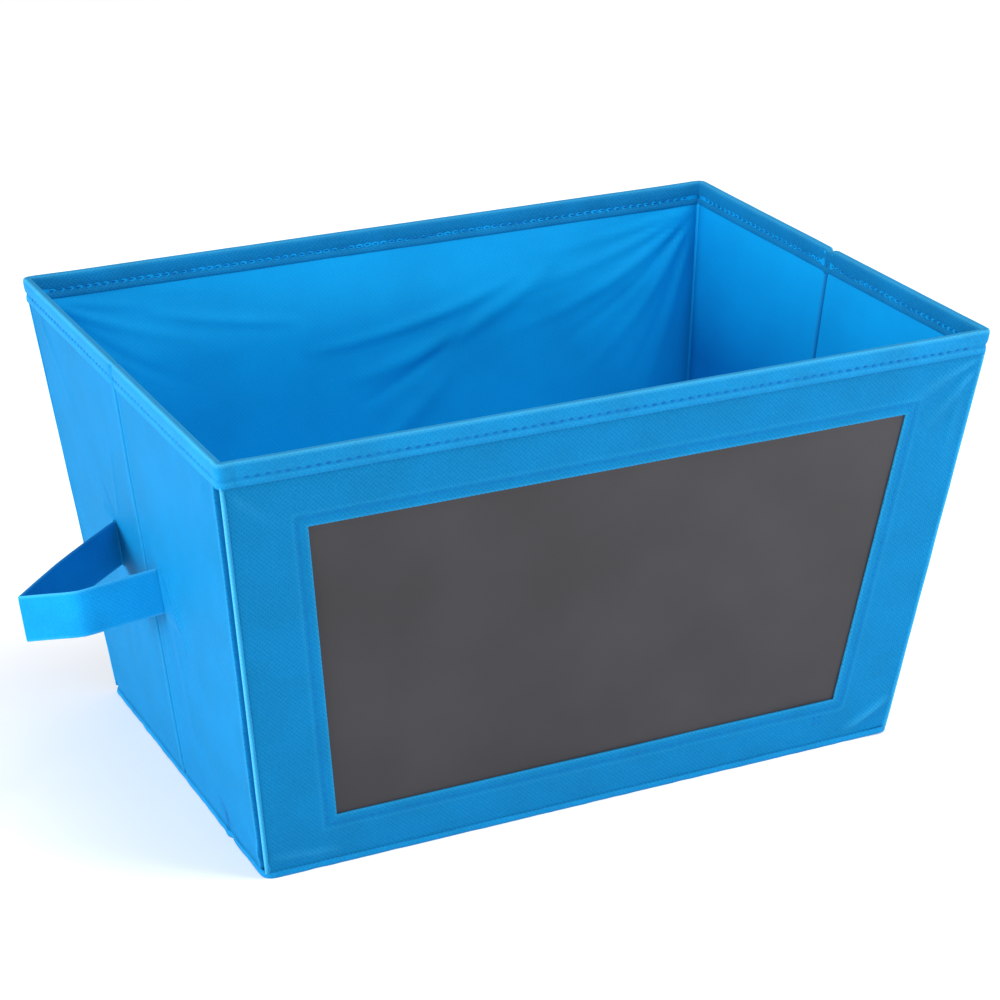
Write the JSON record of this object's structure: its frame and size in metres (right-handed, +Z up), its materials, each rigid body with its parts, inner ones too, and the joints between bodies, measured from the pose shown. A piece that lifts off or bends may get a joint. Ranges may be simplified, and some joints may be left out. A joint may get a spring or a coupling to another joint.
{
  "type": "fabric storage bin",
  "caption": "Tapered folding storage bin of blue non-woven cloth over chipboard, with a writing panel in front, a strap handle at each end and a loose base board.",
  "frame": {"origin": "middle of the footprint, on the surface that the bin stands on", "axes": "+X to the right along the front wall, +Y from the front wall to the back wall, +Z up"},
  "size_m": [0.5104, 0.2878, 0.23],
  "materials": {
    "cover_cloth": "matt, dot-embossed non-woven polypropylene",
    "lining_cloth": "matt, thin non-woven polypropylene",
    "edge_binding": "matt, folded and stitched non-woven",
    "strap_webbing": "matt, folded non-woven strap",
    "chipboard": "plain grey board",
    "chalkboard": "matt dark grey writing surface"
  },
  "bodies": {
    "back_wall": {"back_cover": "cover_cloth", "back_board": "chipboard", "back_lining": "lining_cloth", "back_hem": "edge_binding", "bottom_sheet": "lining_cloth", "bottom_binding": "edge_binding"},
    "front_wall": {"front_cover": "cover_cloth", "chalkboard_sheet": "chalkboard", "front_board": "chipboard", "front_lining": "lining_cloth", "front_hem": "edge_binding"},
    "base_insert": {"base_board": "chipboard", "base_sleeve": "lining_cloth"},
    "left_rear_panel": {"left_rear_cover": "cover_cloth", "left_rear_board": "chipboard", "left_rear_lining": "lining_cloth", "left_rear_hem": "edge_binding", "left_rear_strap_tail": "strap_webbing"},
    "left_rear_strap": {"left_rear_strap_leg": "strap_webbing"},
    "left_front_panel": {"left_front_cover": "cover_cloth", "left_front_board": "chipboard", "left_front_lining": "lining_cloth", "left_front_hem": "edge_binding", "left_front_strap_tail": "strap_webbing"},
    "left_front_strap": {"left_front_strap_leg": "strap_webbing"},
    "right_rear_panel": {"right_rear_cover": "cover_cloth", "right_rear_board": "chipboard", "right_rear_lining": "lining_cloth", "right_rear_hem": "edge_binding", "right_rear_strap_tail": "strap_webbing"},
    "right_rear_strap": {"right_rear_strap_leg": "strap_webbing"},
    "right_front_panel": {"right_front_cover": "cover_cloth", "right_front_board": "chipboard", "right_front_lining": "lining_cloth", "right_front_hem": "edge_binding", "right_front_strap_tail": "strap_webbing"},
    "right_front_strap": {"right_front_strap_leg": "strap_webbing"}
  },
  "joints": [
    {"name": "wall_fold", "type": "hinge", "parent": "back_wall", "child": "left_rear_panel", "pos_m": [-0.17017, 0.10716, 0], "axis": [-0.1155, 0.139, 0.9835], "range_deg": [0, 90.94]},
    {"name": "left_crease_fold", "type": "hinge", "parent": "left_rear_panel", "child": "left_front_panel", "pos_m": [-0.17698, 0, -0.00035], "axis": [0.1166, 0, -0.9932], "range_deg": [0, 180.01]},
    {"name": "left_front_corner_fold", "type": "hinge", "parent": "left_front_panel", "child": "front_wall", "pos_m": [-0.17017, -0.10716, 0], "axis": [-0.1155, -0.139, 0.9835], "range_deg": [0, 90.94]},
    {"name": "right_front_corner_fold", "type": "hinge", "parent": "front_wall", "child": "right_front_panel", "pos_m": [0.17017, -0.10716, 0], "axis": [0.1155, -0.139, 0.9835], "range_deg": [0, 90.94]},
    {"name": "right_rear_corner_fold", "type": "hinge", "parent": "back_wall", "child": "right_rear_panel", "pos_m": [0.17017, 0.10716, 0], "axis": [-0.1155, -0.139, -0.9835], "range_deg": [0, 90.94]},
    {"name": "left_rear_strap_swing", "type": "hinge", "parent": "left_rear_panel", "child": "left_rear_strap", "pos_m": [-0.18994, 0.042, 0.11776], "axis": [0.1166, 0, -0.9932], "range_deg": [0, 123.74]},
    {"name": "left_front_strap_swing", "type": "hinge", "parent": "left_front_panel", "child": "left_front_strap", "pos_m": [-0.18994, -0.022, 0.11776], "axis": [-0.1166, 0, 0.9932], "range_deg": [0, 109.29]},
    {"name": "right_rear_strap_swing", "type": "hinge", "parent": "right_rear_panel", "child": "right_rear_strap", "pos_m": [0.18994, 0.042, 0.11776], "axis": [0.1166, 0, 0.9932], "range_deg": [0, 123.74]},
    {"name": "right_front_strap_swing", "type": "hinge", "parent": "right_front_panel", "child": "right_front_strap", "pos_m": [0.18994, -0.022, 0.11776], "axis": [-0.1166, 0, -0.9932], "range_deg": [0, 109.29]},
    {"name": "base_board_lift", "type": "slide", "parent": "back_wall", "child": "base_insert", "axis": [0, 0, 1], "range_m": [0, 0.26]}
  ],
  "couplings": [
    {"joint": "left_crease_fold", "follows": "wall_fold", "ratio": 1.9794},
    {"joint": "left_front_corner_fold", "follows": "wall_fold", "ratio": 1},
    {"joint": "right_front_corner_fold", "follows": "wall_fold", "ratio": 1},
    {"joint": "right_rear_corner_fold", "follows": "wall_fold", "ratio": 1},
    {"joint": "left_rear_strap_swing", "follows": "wall_fold", "ratio": 1.3607},
    {"joint": "left_front_strap_swing", "follows": "wall_fold", "ratio": 1.2017},
    {"joint": "right_rear_strap_swing", "follows": "wall_fold", "ratio": 1.3607},
    {"joint": "right_front_strap_swing", "follows": "wall_fold", "ratio": 1.2017}
  ]
}
